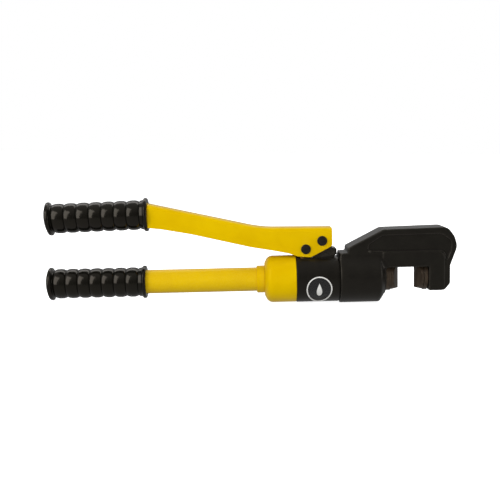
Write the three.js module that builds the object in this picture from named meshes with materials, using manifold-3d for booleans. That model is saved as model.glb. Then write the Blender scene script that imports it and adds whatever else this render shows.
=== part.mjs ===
// Hand-pumped hydraulic bar cutter: a C-shaped cutting head on a pump body, a fixed handle that
// holds the oil and a pump lever above it. Millimetres, +Z up, +X towards the cutting head.
// Everything is drawn with the ram on the X axis and the body-to-head joint at X = 0, and the
// whole tool is then moved so that its box rests on Z = 0, centred on the origin.
import * as THREE from "three";
import { mergeVertices } from "three/addons/utils/BufferGeometryUtils.js";
import Module from "manifold-3d";

const wasm = await Module();
wasm.setup();

// ---- driving dimensions -------------------------------------------------------------------
const GAP = 0.3; // clearance left between neighbouring pieces
const ROUND = 28; // sides of the large turned pieces
const SMALL = 12; // sides of pins, screws and valve parts

const BODY_R = 29.2; // pump body
const COLLAR_R = 28.8;
const BODY_REAR_X = -54;
const BODY_FLAT_Z = 26; // milled flat under the lever
const BODY_FLAT_REAR_X = -52.2;
const BODY_FRONT_X = -2; // shoulder that faces the head
const EAR_SEAT_Z = 24.5; // the ear stands this deep in a pocket of the flat
const SPIGOT_R = 22; // rear spigot inside the collar
const SPIGOT_REAR_X = -68;
const NIPPLE_R = 6.5;
const NIPPLE_REAR_X = -84;
const NOSE_R = 26.2; // threaded nose inside the head
const NOSE_X = 12;

const CYLINDER_R = 31; // outside of the head's cylinder
const HEAD_REAR_X = -1.4;
const CYLINDER_X = 52.9;
const BOSS_R = 20.4; // short boss round the ram, on the cylinder's front
const BOSS_X = 54.4;
const BORE_R = 22; // ram bore
const BORE_REAR_X = -16;
const BORE_FRONT_X = 43;
const BUSH_R = 18.2;
const WIPER_X = 49.6; // where the rod wiper starts inside the bush
const BUSH_FRONT_X = 53.6;
const RIM_HALF = 19; // half thickness of the C frame at its rim
const WEB_HALF = 17; // half thickness in the frame's pocket
const BLOCK_HALF = 20; // half thickness of the proud inner block
const THROAT_ROOF_Z = 13.3;
const LEG_X = 106.4; // inner face of the far leg
const LEG_BOTTOM_Z = -16;
const BLADE_CHANNEL_R = 18.2; // half-round channel in the throat roof that the blades sit in

const ROD_R = 15;
const ROD_FRONT_X = 54.6;
const PISTON_REAR_X = -15;
const PISTON_FRONT_X = -4;
const HOLDER_R = 17.3; // blade holders
const HOLDER_X = 55;
const BLADE_ROOT_R = 16.3;
const BLADE_TIP_R = 14.3;
const BLADE_SPIGOT_R = 5;
const MOVING_ROOT_X = 61.4;
const MOVING_TIP_X = 71.8;
const FIXED_TIP_X = 91.8;
const FIXED_ROOT_X = 101.3;
const EDGE_HALF = 1; // half width of the land at a blade's cutting edge

const FULCRUM = [-22.1, 47.2]; // X and Z of the lever's fulcrum pin
const DRIVE = [-42, 37.4]; // X and Z of the pin that drives the plunger
const PIN_R = 4;
const PIN_HEAD_R = 5.5;
const PIN_END_Y = 17;
const PLUNGER_X = -43.1;
const PLUNGER_R = 6;
const PLUNGER_BOTTOM_Z = -14;
const GLAND_R = 9.2;
const SLOT_SIDE = 1.5; // sideways play of the drive pin in the plunger's eye
const SLOT_UP = 0.4; // play along the plunger

const LEVER_HALF = 14; // half width of the pressed channel
const LEVER_WALL = 2.8;
const EAR_HALF = 10.8;
const EAR_REAR_X = -32;
const EAR_FRONT_X = -7; // at its foot
const EYE_HALF = 9;

const TUBE_R = 14.6;
const TUBE_BORE_R = 12.6;
const TUBE_REAR_X = -352;
const TUBE_FRONT_X = -87;
const COLLAR_REAR_X = -94;
const FERRULE_R = 16.8;
const FERRULE_REAR_X = -103;
const BLADDER_REAR_X = -230;
const BLADDER_R = 11.5;

const GRIP_BORE_R = 14.9;
const GRIP_RIBS = 7;
const GRIP_SIDES = 20;
const LOWER_GRIP = { openX: -238, rib: 18.3, flange: 20.1, pitch: 14.7 };
const UPPER_GRIP = { openX: -233.45, rib: 18.6, flange: 20.5, pitch: 15.15 };
const GROOVE_DEPTH = 2.2;
const FLANGE_WIDTH = 10;
const UPPER_GRIP_Z = 83.2; // height of the upper grip's axis at its open end
const UPPER_GRIP_TILT = 1.2; // degrees, the closed end sits lower
const CORE_R = 14.2;
const CORE_LENGTH = 114;

const KNOB_R = 8.5;
const KNOB_Y = [29.8, 38.5];
const RELEASE = [-23.5, 7]; // X and Z of the release valve's axis
const RELIEF = [-23.5, -14]; // X and Z of the relief valve's axis
const DELIVERY_Z = -11.5; // height of the delivery valve's axis
const VALVE_BORE_R = 4.3;

const LABEL_X = -27.3;
const LABEL_R = 15.6;
const LABEL_LOW = 13.6; // how far below the ram's axis the label's centre sits
const LABEL_TILT = 7; // degrees, the label is round when seen from this far above the -Y side

const BOX_CENTRE = [-109.85, 3.75]; // middle of the tool's box in X and Y
const BOX_BOTTOM_Z = -CYLINDER_R;

// ---- materials ----------------------------------------------------------------------------
const finish = (color, roughness, metalness) =>
  new THREE.MeshStandardMaterial({ color, roughness, metalness });

const YELLOW = finish(0xe2b901, 0.35, 0);
const BLACK_OXIDE = finish(0x21201e, 0.5, 0.5);
const FORGED_BLACK = finish(0x1e1d1b, 0.55, 0.3);
const TOOL_STEEL = finish(0x39302a, 0.45, 0.8);
const GRIP_VINYL = finish(0x171613, 0.2, 0);
const PIN_STEEL = finish(0x26241a, 0.4, 0.7);
const BRIGHT_STEEL = finish(0xb4b6b8, 0.3, 1);
const SPRING_STEEL = finish(0x8a8c90, 0.35, 1);
const BRONZE = finish(0xa07a3c, 0.4, 1);
const SEAL_RUBBER = finish(0x141414, 0.7, 0);
const WHITE_PLASTIC = finish(0xe8e8e4, 0.4, 0);

// ---- shape helpers ------------------------------------------------------------------------
function solidOf(geometry) {
  const bare = new THREE.BufferGeometry().setAttribute("position", geometry.getAttribute("position"));
  if (geometry.index) bare.setIndex(geometry.index);
  const merged = mergeVertices(bare, 1e-4);
  return new wasm.Manifold(
    new wasm.Mesh({
      numProp: 3,
      vertProperties: merged.attributes.position.array,
      triVerts: new Uint32Array(merged.index.array),
    }),
  );
}

function geometryOf(solid) {
  const mesh = solid.getMesh();
  const geometry = new THREE.BufferGeometry();
  geometry.setAttribute("position", new THREE.BufferAttribute(mesh.vertProperties, 3));
  geometry.setIndex(new THREE.BufferAttribute(mesh.triVerts, 1));
  const flat = geometry.toNonIndexed();
  flat.computeVertexNormals();
  return flat;
}

// A closed outline of [along, radius] points turned about the axis "x", "y" or "z".
function turned(outline, axis = "x", sides = ROUND) {
  const points = outline.map(([along, radius]) => new THREE.Vector2(radius, along));
  if (THREE.ShapeUtils.area(points) < 0) points.reverse();
  points.push(points[0].clone());
  const geometry = new THREE.LatheGeometry(points, sides);
  if (axis === "x") geometry.rotateZ(-Math.PI / 2);
  if (axis === "z") geometry.rotateX(Math.PI / 2);
  return solidOf(geometry);
}

// A plain rod or, with an inner radius, a sleeve.
function rod(from, to, radius, axis = "x", sides = ROUND, inner = 0) {
  return turned([[from, inner], [to, inner], [to, radius], [from, radius]], axis, sides);
}

const smallRod = (from, to, radius, axis, inner) => rod(from, to, radius, axis, SMALL, inner);

// A rod along Y through a point given as [x, z].
const crossRod = ([x, z], from, to, radius, inner) =>
  smallRod(from, to, radius, "y", inner).translate([x, 0, z]);

function ball(radius, x, y, z) {
  const geometry = new THREE.SphereGeometry(radius, 10, 7);
  geometry.translate(x, y, z);
  return solidOf(geometry);
}

// A closed shape through [x, z, corner radius] points, each corner eased by its own radius.
function outlineShape(corners) {
  const shape = new THREE.Shape();
  const count = corners.length;
  corners.forEach(([x, z, radius = 0], i) => {
    const before = corners[(i + count - 1) % count];
    const after = corners[(i + 1) % count];
    const into = new THREE.Vector2(x - before[0], z - before[1]).normalize();
    const out = new THREE.Vector2(after[0] - x, after[1] - z).normalize();
    const turn = Math.acos(THREE.MathUtils.clamp(into.dot(out), -1, 1));
    const reach = radius * Math.tan(turn / 2);
    if (i === 0) shape.moveTo(x - into.x * reach, z - into.y * reach);
    else shape.lineTo(x - into.x * reach, z - into.y * reach);
    if (radius > 0) shape.quadraticCurveTo(x, z, x + out.x * reach, z + out.y * reach);
  });
  shape.closePath();
  return shape;
}

// A plate whose outline is drawn in X and Z, from low to high along Y.
function plate(corners, low, high, curveSegments = 3) {
  const options = { depth: high - low, bevelEnabled: false, curveSegments };
  const geometry = new THREE.ExtrudeGeometry(outlineShape(corners), options);
  geometry.rotateX(Math.PI / 2);
  geometry.translate(0, high, 0);
  return solidOf(geometry);
}

function block(x0, x1, y0, y1, z0, z1) {
  const geometry = new THREE.BoxGeometry(x1 - x0, y1 - y0, z1 - z0);
  geometry.translate((x0 + x1) / 2, (y0 + y1) / 2, (z0 + z1) / 2);
  return solidOf(geometry);
}

// A coil spring of round wire along X or Y.
function coil(from, to, radius, wire, turns, axis = "x", steps = 10) {
  const span = to - from - 2 * wire;
  const path = new THREE.Curve();
  path.getPoint = (t) => {
    const angle = t * turns * 2 * Math.PI;
    return new THREE.Vector3(radius * Math.cos(angle), radius * Math.sin(angle), from + wire + span * t);
  };
  const section = new THREE.Shape().absarc(0, 0, wire, 0, 2 * Math.PI);
  const options = { steps: Math.round(turns * steps), extrudePath: path, curveSegments: 2 };
  const geometry = new THREE.ExtrudeGeometry(section, options);
  if (axis === "x") geometry.rotateY(Math.PI / 2);
  if (axis === "y") geometry.rotateX(-Math.PI / 2);
  return solidOf(geometry);
}

const group = new THREE.Group();
const tool = new THREE.Group();
tool.position.set(-BOX_CENTRE[0], -BOX_CENTRE[1], -BOX_BOTTOM_Z);
group.add(tool);

function add(name, solid, material, parent = tool) {
  const mesh = new THREE.Mesh(geometryOf(solid), material);
  mesh.name = name;
  parent.add(mesh);
}

// ---- cutting head -------------------------------------------------------------------------
function headFrame() {
  const rim = [
    [-0.8, 12], [-0.8, 31.8, 1], [8.3, 32.1, 1], [8.3, 38.2, 2], [51.3, 59.8, 5], [130.8, 61.3, 14],
    [140.5, 47, 13], [140.5, 35.5, 12], [132.4, 14, 8], [132.4, -8, 3], [125.8, LEG_BOTTOM_Z, 3],
    [LEG_X, LEG_BOTTOM_Z, 1.5],
    [LEG_X, THROAT_ROOF_Z], [40, THROAT_ROOF_Z],
  ];
  const pocket = [
    [33.8, 34.4], [33.8, 42, 5], [50, 52, 6], [121, 53, 12], [134, 46, 8], [133, 31, 10],
    [126.8, 17.5], [127.6, 34.9, 9],
  ];
  const inner = [
    [46, THROAT_ROOF_Z], [46, 29], [52, 33, 3], [125.8, 32.6, 8], [125.8, LEG_BOTTOM_Z, 4],
    [LEG_X, LEG_BOTTOM_Z, 1.5], [LEG_X, THROAT_ROOF_Z],
  ];
  return plate(rim, -RIM_HALF, RIM_HALF)
    .subtract(plate(pocket, WEB_HALF, RIM_HALF + 1))
    .subtract(plate(pocket, -RIM_HALF - 1, -WEB_HALF))
    .add(plate(inner, -BLOCK_HALF, BLOCK_HALF));
}

function cutterHead() {
  const cylinder = turned([
    [HEAD_REAR_X, 0], [HEAD_REAR_X, CYLINDER_R - 1.6], [HEAD_REAR_X + 1.6, CYLINDER_R],
    [46.6, CYLINDER_R], [49.2, CYLINDER_R - 1.4], [CYLINDER_X, CYLINDER_R - 8], [CYLINDER_X, BOSS_R],
    [BOSS_X, BOSS_R], [BOSS_X, 0],
  ]);
  return headFrame()
    .add(cylinder)
    .subtract(rod(BOSS_X - 0.1, LEG_X, BLADE_CHANNEL_R))
    .subtract(rod(HEAD_REAR_X - 1, NOSE_X + GAP, NOSE_R + GAP))
    .subtract(rod(HEAD_REAR_X - 1, BORE_FRONT_X, BORE_R))
    .subtract(rod(BORE_FRONT_X - 1, BOSS_X + 1, BUSH_R + GAP))
    .subtract(smallRod(LEG_X - 1, LEG_X + 12, 8))
    .subtract(smallRod(LEG_X + 8, LEG_X + 30, 3))
    .subtract(smallRod(LEG_X + 17, LEG_X + 30, 4.6))
    .subtract(crossRod([5, 0], 25, 32, 2.4));
}

function guideBush() {
  return turned([
    [BORE_FRONT_X + GAP, ROD_R + GAP], [WIPER_X, ROD_R + GAP], [WIPER_X, 16.9], [BUSH_FRONT_X, 16.9],
    [BUSH_FRONT_X, BUSH_R], [BORE_FRONT_X + GAP, BUSH_R],
  ]);
}

add("cutter_head", cutterHead(), FORGED_BLACK);
add("guide_bush", guideBush(), BRONZE);
add("rod_wiper", rod(WIPER_X + GAP, BUSH_FRONT_X, 16.6, "x", ROUND, ROD_R + GAP), SEAL_RUBBER);
add("head_lock_screw", crossRod([5, 0], 26.8, 30.2, 2.1), PIN_STEEL);

// ---- blades -------------------------------------------------------------------------------
// A round blade facing +X whose two long flats meet at a narrow upright edge, on a round spigot.
function blade(rootX, tipX, spigotX) {
  const blank = turned([
    [spigotX, 0], [tipX, 0], [tipX, BLADE_TIP_R], [rootX, BLADE_ROOT_R], [rootX, BLADE_SPIGOT_R],
    [spigotX, BLADE_SPIGOT_R],
  ]);
  const side = BLADE_ROOT_R + 1;
  const wedge = new THREE.Shape([
    new THREE.Vector2(spigotX - 1, -side), new THREE.Vector2(rootX + 2, -side),
    new THREE.Vector2(tipX, -EDGE_HALF), new THREE.Vector2(tipX, EDGE_HALF),
    new THREE.Vector2(rootX + 2, side), new THREE.Vector2(spigotX - 1, side),
  ]);
  const geometry = new THREE.ExtrudeGeometry(wedge, { depth: 2 * side, bevelEnabled: false });
  geometry.translate(0, 0, -side);
  return blank.intersect(solidOf(geometry));
}

function fixedBlade() {
  const drawn = blade(-FIXED_ROOT_X, -FIXED_TIP_X, -FIXED_ROOT_X - 10);
  return drawn.subtract(smallRod(-FIXED_ROOT_X - 11, -FIXED_ROOT_X - 3, 2.8)).rotate([0, 0, 180]);
}

function movingHolder() {
  return turned([
    [49, 0], [MOVING_ROOT_X - GAP, 0], [MOVING_ROOT_X - GAP, HOLDER_R], [HOLDER_X, HOLDER_R],
    [HOLDER_X, 6], [49, 6],
  ])
    .subtract(smallRod(54, 62, BLADE_SPIGOT_R + GAP))
    .subtract(crossRod([57.8, 0], 0, 20, 1.6));
}

function fixedHolder() {
  const bore = BLADE_SPIGOT_R + GAP;
  return turned([
    [FIXED_ROOT_X + GAP, bore], [FIXED_ROOT_X + GAP, HOLDER_R], [LEG_X - GAP, HOLDER_R],
    [LEG_X - GAP, 7.6], [LEG_X + 11, 7.6], [LEG_X + 11, bore],
  ]);
}

function fixedBladeScrew() {
  const headX = LEG_X + 17 + GAP;
  const screw = [
    [LEG_X - 2, 0], [LEG_X - 2, 2.5], [headX, 2.5], [headX, 4.2], [headX + 5, 4.2], [headX + 5, 0],
  ];
  return turned(screw, "x", SMALL).subtract(rod(headX + 2, headX + 6, 2.2, "x", 6));
}

add("moving_blade", blade(MOVING_ROOT_X, MOVING_TIP_X, HOLDER_X - 0.7), TOOL_STEEL);
add("moving_blade_holder", movingHolder(), TOOL_STEEL);
add("moving_blade_screw", crossRod([57.8, 0], BLADE_SPIGOT_R + GAP, HOLDER_R - 0.8, 1.3), PIN_STEEL);
add("fixed_blade", fixedBlade(), TOOL_STEEL);
add("fixed_blade_holder", fixedHolder(), TOOL_STEEL);
add("fixed_blade_screw", fixedBladeScrew(), PIN_STEEL);

// ---- ram ----------------------------------------------------------------------------------
function ramPiston() {
  const skirt = BORE_R - GAP;
  return turned([
    [PISTON_REAR_X, 0], [PISTON_REAR_X, skirt], [-12.6, skirt], [-12.6, 19.2], [-7, 19.2],
    [-7, skirt], [PISTON_FRONT_X, skirt], [PISTON_FRONT_X, ROD_R], [ROD_FRONT_X, ROD_R],
    [ROD_FRONT_X, 6.3], [48.6, 6.3], [48.6, 0],
  ]);
}

add("ram_piston", ramPiston(), BRIGHT_STEEL);
add("ram_seal", rod(-12.3, -9.9, BORE_R - GAP, "x", ROUND, 19.5), SEAL_RUBBER);
add("ram_backup_ring", rod(-9.6, -7.3, BORE_R - GAP, "x", ROUND, 19.5), WHITE_PLASTIC);
add("ram_return_spring", coil(PISTON_FRONT_X + GAP, BORE_FRONT_X - GAP, 18.4, 1.3, 6), SPRING_STEEL);

// ---- pump body ----------------------------------------------------------------------------
// The upright ear that carries the lever's fulcrum; its foot is let into the body's flat.
function leverEar() {
  const [x, z] = FULCRUM;
  return plate([
    [EAR_REAR_X, EAR_SEAT_Z], [EAR_REAR_X, z + 2, 4], [x - 6.5, z + 10.4, 5], [x + 5.5, z + 10.4, 6],
    [x + 10.6, z + 1, 6], [-10.5, 38, 2], [-4.4, 37.2, 1], [-4.4, 31], [EAR_FRONT_X, 28],
    [EAR_FRONT_X, EAR_SEAT_Z],
  ], -EAR_HALF, EAR_HALF).subtract(crossRod(FULCRUM, -EAR_HALF - 1, EAR_HALF + 1, PIN_R + GAP));
}

function bodyBlank() {
  return turned([
    [BODY_REAR_X, SPIGOT_R], [BODY_REAR_X, BODY_R - 1], [BODY_REAR_X + 1, BODY_R],
    [BODY_FRONT_X - 3, BODY_R], [BODY_FRONT_X - 1, BODY_R - 2], [BODY_FRONT_X, NOSE_R],
    [6.5, NOSE_R], [6.5, 24.4], [9.5, 24.4], [9.5, NOSE_R],
    [NOSE_X, NOSE_R], [NOSE_X, 0], [NIPPLE_REAR_X, 0], [NIPPLE_REAR_X, NIPPLE_R],
    [SPIGOT_REAR_X, NIPPLE_R], [SPIGOT_REAR_X, SPIGOT_R],
  ]);
}

// Rods along the plunger's and the delivery valve's axes.
const plungerBore = (from, to, radius, inner) =>
  smallRod(from, to, radius, "z", inner).translate([PLUNGER_X, 0, 0]);
const deliveryBore = (from, to, radius, inner) =>
  smallRod(from, to, radius, "x", inner).translate([0, 0, DELIVERY_Z]);

function pumpBody() {
  const side = EAR_HALF + GAP;
  return bodyBlank()
    .subtract(block(BODY_FLAT_REAR_X, BODY_FRONT_X, -30, 30, BODY_FLAT_Z, 40))
    .subtract(block(EAR_REAR_X - GAP, EAR_FRONT_X + GAP, -side, side, EAR_SEAT_Z - GAP, 40))
    .subtract(rod(BORE_REAR_X, NOSE_X + 1, BORE_R))
    .subtract(plungerBore(PLUNGER_BOTTOM_Z - 1, 40, PLUNGER_R + GAP))
    .subtract(plungerBore(9, 40, GLAND_R + GAP))
    .subtract(plungerBore(-40, PLUNGER_BOTTOM_Z, VALVE_BORE_R))
    .subtract(smallRod(NIPPLE_REAR_X - 1, -51, 2.5))
    .subtract(smallRod(-24, 0, 1.4, "z").translate([-52, 0, 0]))
    .subtract(smallRod(-52, PLUNGER_X, 1.4).translate([0, 0, -24]))
    .subtract(deliveryBore(-38, BORE_REAR_X + 1, 1.5))
    .subtract(deliveryBore(-32.5, BORE_REAR_X + 1, 3.6))
    .subtract(crossRod(RELEASE, 5, 40, VALVE_BORE_R))
    .subtract(crossRod(RELIEF, 8, 40, VALVE_BORE_R));
}

function labelBadge() {
  const skin = rod(LABEL_X - LABEL_R - 1, LABEL_X + LABEL_R + 1, BODY_R + 0.7, "x", 64, BODY_R + GAP);
  const punch = rod(0, BODY_R + 5, LABEL_R, "y").translate([LABEL_X, 0, LABEL_LOW]);
  return skin.intersect(punch.rotate([180 - LABEL_TILT, 0, 0]));
}

add("pump_body", pumpBody(), BLACK_OXIDE);
add("lever_ear", leverEar(), BLACK_OXIDE);
add("head_o_ring", rod(6.8, 9.2, NOSE_R + 0.1, "x", ROUND, 24.7), SEAL_RUBBER);
add("label_badge", labelBadge(), WHITE_PLASTIC);

// ---- pump plunger -------------------------------------------------------------------------
function pumpPlunger() {
  const z = DRIVE[1];
  const halfX = PIN_R + SLOT_SIDE;
  const halfZ = PIN_R + SLOT_UP;
  const eye = plate([
    [PLUNGER_X - 8.6, 28.6], [PLUNGER_X - 8.6, z + 8.4, 6], [PLUNGER_X + 8.6, z + 8.4, 6],
    [PLUNGER_X + 8.6, 28.6],
  ], -EYE_HALF, EYE_HALF);
  const slot = plate([
    [PLUNGER_X - halfX, z - halfZ, 3], [PLUNGER_X - halfX, z + halfZ, 3],
    [PLUNGER_X + halfX, z + halfZ, 3], [PLUNGER_X + halfX, z - halfZ, 3],
  ], -EYE_HALF - 1, EYE_HALF + 1, 3);
  return eye.add(plungerBore(PLUNGER_BOTTOM_Z, 30, PLUNGER_R)).subtract(slot);
}

add("pump_plunger", pumpPlunger(), BRIGHT_STEEL);
add("plunger_gland", plungerBore(12, BODY_FLAT_Z + 1, GLAND_R, PLUNGER_R + GAP), BRONZE);
add("plunger_seal", plungerBore(9.3, 11.7, GLAND_R, PLUNGER_R + GAP), SEAL_RUBBER);

// ---- valves -------------------------------------------------------------------------------
function releaseSpindle() {
  const [from, to] = KNOB_Y;
  const outline = [
    [10.4, 0], [11.6, 2.2], [11.6, 4], [from - 1.6, 4], [from - 1.6, 3], [to - 1, 3], [to - 1, 0],
  ];
  return turned(outline, "y", SMALL).translate([RELEASE[0], 0, RELEASE[1]]);
}

// A knob with finger flutes round its rim.
function releaseKnob() {
  const flutes = 8;
  let knob = smallRod(...KNOB_Y, KNOB_R, "y", 3.3);
  for (let i = 0; i < flutes; i++) {
    const angle = (i * 2 * Math.PI) / flutes;
    const flute = rod(KNOB_Y[0] - 1, KNOB_Y[1] + 1, 1.6, "y", 8);
    knob = knob.subtract(flute.translate([9.2 * Math.cos(angle), 0, 9.2 * Math.sin(angle)]));
  }
  return knob.translate([RELEASE[0], 0, RELEASE[1]]);
}

function reliefScrew() {
  return crossRod(RELIEF, 19.4, 24, 4).subtract(crossRod(RELIEF, 22, 25, 2));
}

add("release_ball", ball(2.4, RELEASE[0], 7.7, RELEASE[1]), BRIGHT_STEEL);
add("release_spindle", releaseSpindle(), PIN_STEEL);
add("release_knob", releaseKnob(), BLACK_OXIDE);
add("relief_ball", ball(2.2, RELIEF[0], 10.5, RELIEF[1]), BRIGHT_STEEL);
add("relief_spring", coil(13, 19.1, 2.9, 0.5, 4, "y", 8).translate([RELIEF[0], 0, RELIEF[1]]), SPRING_STEEL);
add("relief_screw", reliefScrew(), PIN_STEEL);
add("suction_seat", plungerBore(-22.3, -20.2, 4, 1.3), BRIGHT_STEEL);
add("suction_ball", ball(2.5, PLUNGER_X, 0, -17.4), BRIGHT_STEEL);
add("suction_plug", plungerBore(-27.8, -25.8, 4), PIN_STEEL);
add("delivery_ball", ball(2.5, -29.7, 0, DELIVERY_Z), BRIGHT_STEEL);
add("delivery_spring", coil(-26.8, -21.4, 2.4, 0.45, 4, "x", 8).translate([0, 0, DELIVERY_Z]), SPRING_STEEL);
add("delivery_plug", deliveryBore(-21, -16.6, 3.3, 1.2), PIN_STEEL);

// ---- fixed handle -------------------------------------------------------------------------
function bodyCollar() {
  return turned([
    [COLLAR_REAR_X, GRIP_BORE_R], [COLLAR_REAR_X, 19.2], [-92.4, 22.2], [-89.2, 26], [-85, 28.3],
    [-82.5, COLLAR_R], [-55.4, COLLAR_R], [BODY_REAR_X - GAP, COLLAR_R - 1],
    [BODY_REAR_X - GAP, SPIGOT_R + GAP],
    [-70, SPIGOT_R + GAP], [-70, 18], [-86.5, 18], [-86.5, GRIP_BORE_R],
  ]);
}

function oilBladder() {
  return turned([
    [-72, 6.8], [-72, 9], [-82, 9], [-91, BLADDER_R], [BLADDER_REAR_X + 8, BLADDER_R],
    [BLADDER_REAR_X + 2, 8], [BLADDER_REAR_X, 0], [BLADDER_REAR_X + 2, 0], [BLADDER_REAR_X + 4, 6.6],
    [BLADDER_REAR_X + 9, BLADDER_R - 1.8], [-91, BLADDER_R - 1.8], [-84.6, 6.8],
  ], "x", 24);
}

// A moulded grip along X: open at its front end, domed shut at the rear, a flange at each end
// and rounded ribs between. It is drawn with its open end at X = 0.
function grip({ rib, flange, pitch }) {
  const inset = 1.4;
  const groove = rib - GROOVE_DEPTH;
  const ribsFrom = -FLANGE_WIDTH;
  const ribsTo = ribsFrom - GRIP_RIBS * pitch;
  const outline = [
    [0, GRIP_BORE_R], [0, flange - inset], [-inset, flange], [-4.4, flange], [-6, groove + 1.8],
    [ribsFrom, groove],
  ];
  for (let i = 0; i < GRIP_RIBS; i++) {
    const from = ribsFrom - i * pitch;
    outline.push([from - 0.25 * pitch, rib - 0.1], [from - 0.75 * pitch, rib - 0.1]);
    outline.push([from - pitch, groove]);
  }
  outline.push([ribsTo - 1.2, groove + 1], [ribsTo - 2.6, flange], [ribsTo - 5.8, flange]);
  outline.push([ribsTo - 7.4, flange - 2], [ribsTo - 9, 12], [ribsTo - 9.4, 0]);
  outline.push([ribsTo - 5, 0], [ribsTo - 5, GRIP_BORE_R]);
  return turned(outline, "x", GRIP_SIDES);
}

add("body_collar", bodyCollar(), YELLOW);
add("tube_ferrule", rod(FERRULE_REAR_X, COLLAR_REAR_X - GAP, FERRULE_R, "x", ROUND, TUBE_R + GAP), YELLOW);
add("reservoir_tube", rod(TUBE_REAR_X, TUBE_FRONT_X, TUBE_R, "x", ROUND, TUBE_BORE_R), YELLOW);
add("tube_end_plug", rod(TUBE_REAR_X + 1, TUBE_REAR_X + 9, TUBE_BORE_R - GAP, "x", 24), SEAL_RUBBER);
add("handle_grip", grip(LOWER_GRIP).translate([LOWER_GRIP.openX, 0, 0]), GRIP_VINYL);
add("oil_bladder", oilBladder(), SEAL_RUBBER);
add("bladder_clamp", rod(-79, -75, 10.6, "x", 24, 9.4), BRIGHT_STEEL);

// ---- pump lever ---------------------------------------------------------------------------
function leverChannel() {
  const rearX = UPPER_GRIP.openX + 2 * GAP;
  const upper = [[rearX, 96.5], [-97, 64.6, 120], [-9.8, 63, 2]];
  const cheek = [
    [-10.3, 40.4, 3], [-35.8, 27.2, 6], [-52, 28.8, 10], [-62, 31.6, 20], [-117.8, 42.5],
    [-180.4, 57.7, 200], [rearX, 67.4],
  ];
  const inside = upper.map(([x, z, r]) => [x, z - LEVER_WALL, r]);
  inside[0][0] -= 5;
  inside[2] = [0, inside[2][1]];
  const below = [[0, 0], [rearX - 5, 0]];
  const inner = LEVER_HALF - LEVER_WALL;
  return plate([...upper, ...cheek], -LEVER_HALF, LEVER_HALF, 6)
    .subtract(plate([...inside, ...below], -inner, inner, 6))
    .subtract(crossRod(FULCRUM, -20, 20, PIN_R + GAP))
    .subtract(crossRod(DRIVE, -20, 20, PIN_R + GAP));
}

// The tube inside the upper grip, closed at the front by the plate that it is welded on with.
function leverCore() {
  const inner = CORE_R - 2.2;
  return turned([
    [0, 0], [0, CORE_R], [-CORE_LENGTH, CORE_R], [-CORE_LENGTH, inner], [-3, inner], [-3, 0],
  ], "x", 24);
}

// A headed pin along Y with a groove for its circlip.
function leverPin(centre) {
  const face = LEVER_HALF + GAP;
  return turned([
    [-face - 1.8, 0], [-face - 1.8, PIN_HEAD_R - 0.6], [-face - 1.2, PIN_HEAD_R], [-face, PIN_HEAD_R],
    [-face, PIN_R], [face, PIN_R], [face, 3], [face + 1.6, 3], [face + 1.6, PIN_R], [PIN_END_Y, PIN_R],
    [PIN_END_Y, 0],
  ], "y", SMALL).translate([centre[0], 0, centre[1]]);
}

function circlip(centre) {
  const from = LEVER_HALF + 2 * GAP;
  const clip = smallRod(from, from + 1, 6.2, "y", 3.3).subtract(block(-1.8, 1.8, 10, 20, -8, -1));
  return clip.translate([centre[0], 0, centre[1]]);
}

add("lever_channel", leverChannel(), YELLOW);
add("fulcrum_pin", leverPin(FULCRUM), PIN_STEEL);
add("drive_pin", leverPin(DRIVE), PIN_STEEL);
add("fulcrum_circlip", circlip(FULCRUM), SPRING_STEEL);
add("drive_circlip", circlip(DRIVE), SPRING_STEEL);

const upperHandle = new THREE.Group();
upperHandle.position.set(UPPER_GRIP.openX, 0, UPPER_GRIP_Z);
upperHandle.rotation.y = -THREE.MathUtils.degToRad(UPPER_GRIP_TILT);
tool.add(upperHandle);
add("lever_grip", grip(UPPER_GRIP), GRIP_VINYL, upperHandle);
add("lever_core", leverCore(), YELLOW, upperHandle);

export default group;
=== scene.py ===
"""Hand-pumped hydraulic bar cutter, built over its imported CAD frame.

Shapes are drawn in millimetres in the tool's own frame: the ram runs along X, the joint
between pump body and cutting head is at X = 0, +Z is up and -Y faces the camera.
"""

import math

import bmesh
import bpy
import numpy as np
from mathutils import Matrix, Vector


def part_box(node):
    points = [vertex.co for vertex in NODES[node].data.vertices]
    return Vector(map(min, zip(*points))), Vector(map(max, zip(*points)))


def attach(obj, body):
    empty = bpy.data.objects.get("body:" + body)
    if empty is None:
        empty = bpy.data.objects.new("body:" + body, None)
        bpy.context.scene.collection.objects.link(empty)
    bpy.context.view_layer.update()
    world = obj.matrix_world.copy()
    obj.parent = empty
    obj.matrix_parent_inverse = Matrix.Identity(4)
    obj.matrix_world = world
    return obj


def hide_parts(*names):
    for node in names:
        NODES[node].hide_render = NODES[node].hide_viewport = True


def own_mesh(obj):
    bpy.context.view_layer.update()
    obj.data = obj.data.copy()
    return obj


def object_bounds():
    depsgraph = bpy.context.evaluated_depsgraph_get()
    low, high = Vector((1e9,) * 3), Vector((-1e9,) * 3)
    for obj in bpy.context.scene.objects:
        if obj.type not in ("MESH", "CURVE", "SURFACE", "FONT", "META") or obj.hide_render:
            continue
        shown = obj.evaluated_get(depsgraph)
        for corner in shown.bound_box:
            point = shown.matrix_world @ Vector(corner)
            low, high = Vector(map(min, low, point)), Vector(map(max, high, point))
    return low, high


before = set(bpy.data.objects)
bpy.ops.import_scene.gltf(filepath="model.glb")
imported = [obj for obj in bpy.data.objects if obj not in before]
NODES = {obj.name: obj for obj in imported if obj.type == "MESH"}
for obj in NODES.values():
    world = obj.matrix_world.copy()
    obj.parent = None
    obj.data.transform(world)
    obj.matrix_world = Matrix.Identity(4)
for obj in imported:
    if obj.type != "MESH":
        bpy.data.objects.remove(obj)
CAD_LOW, CAD_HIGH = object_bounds()

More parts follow.
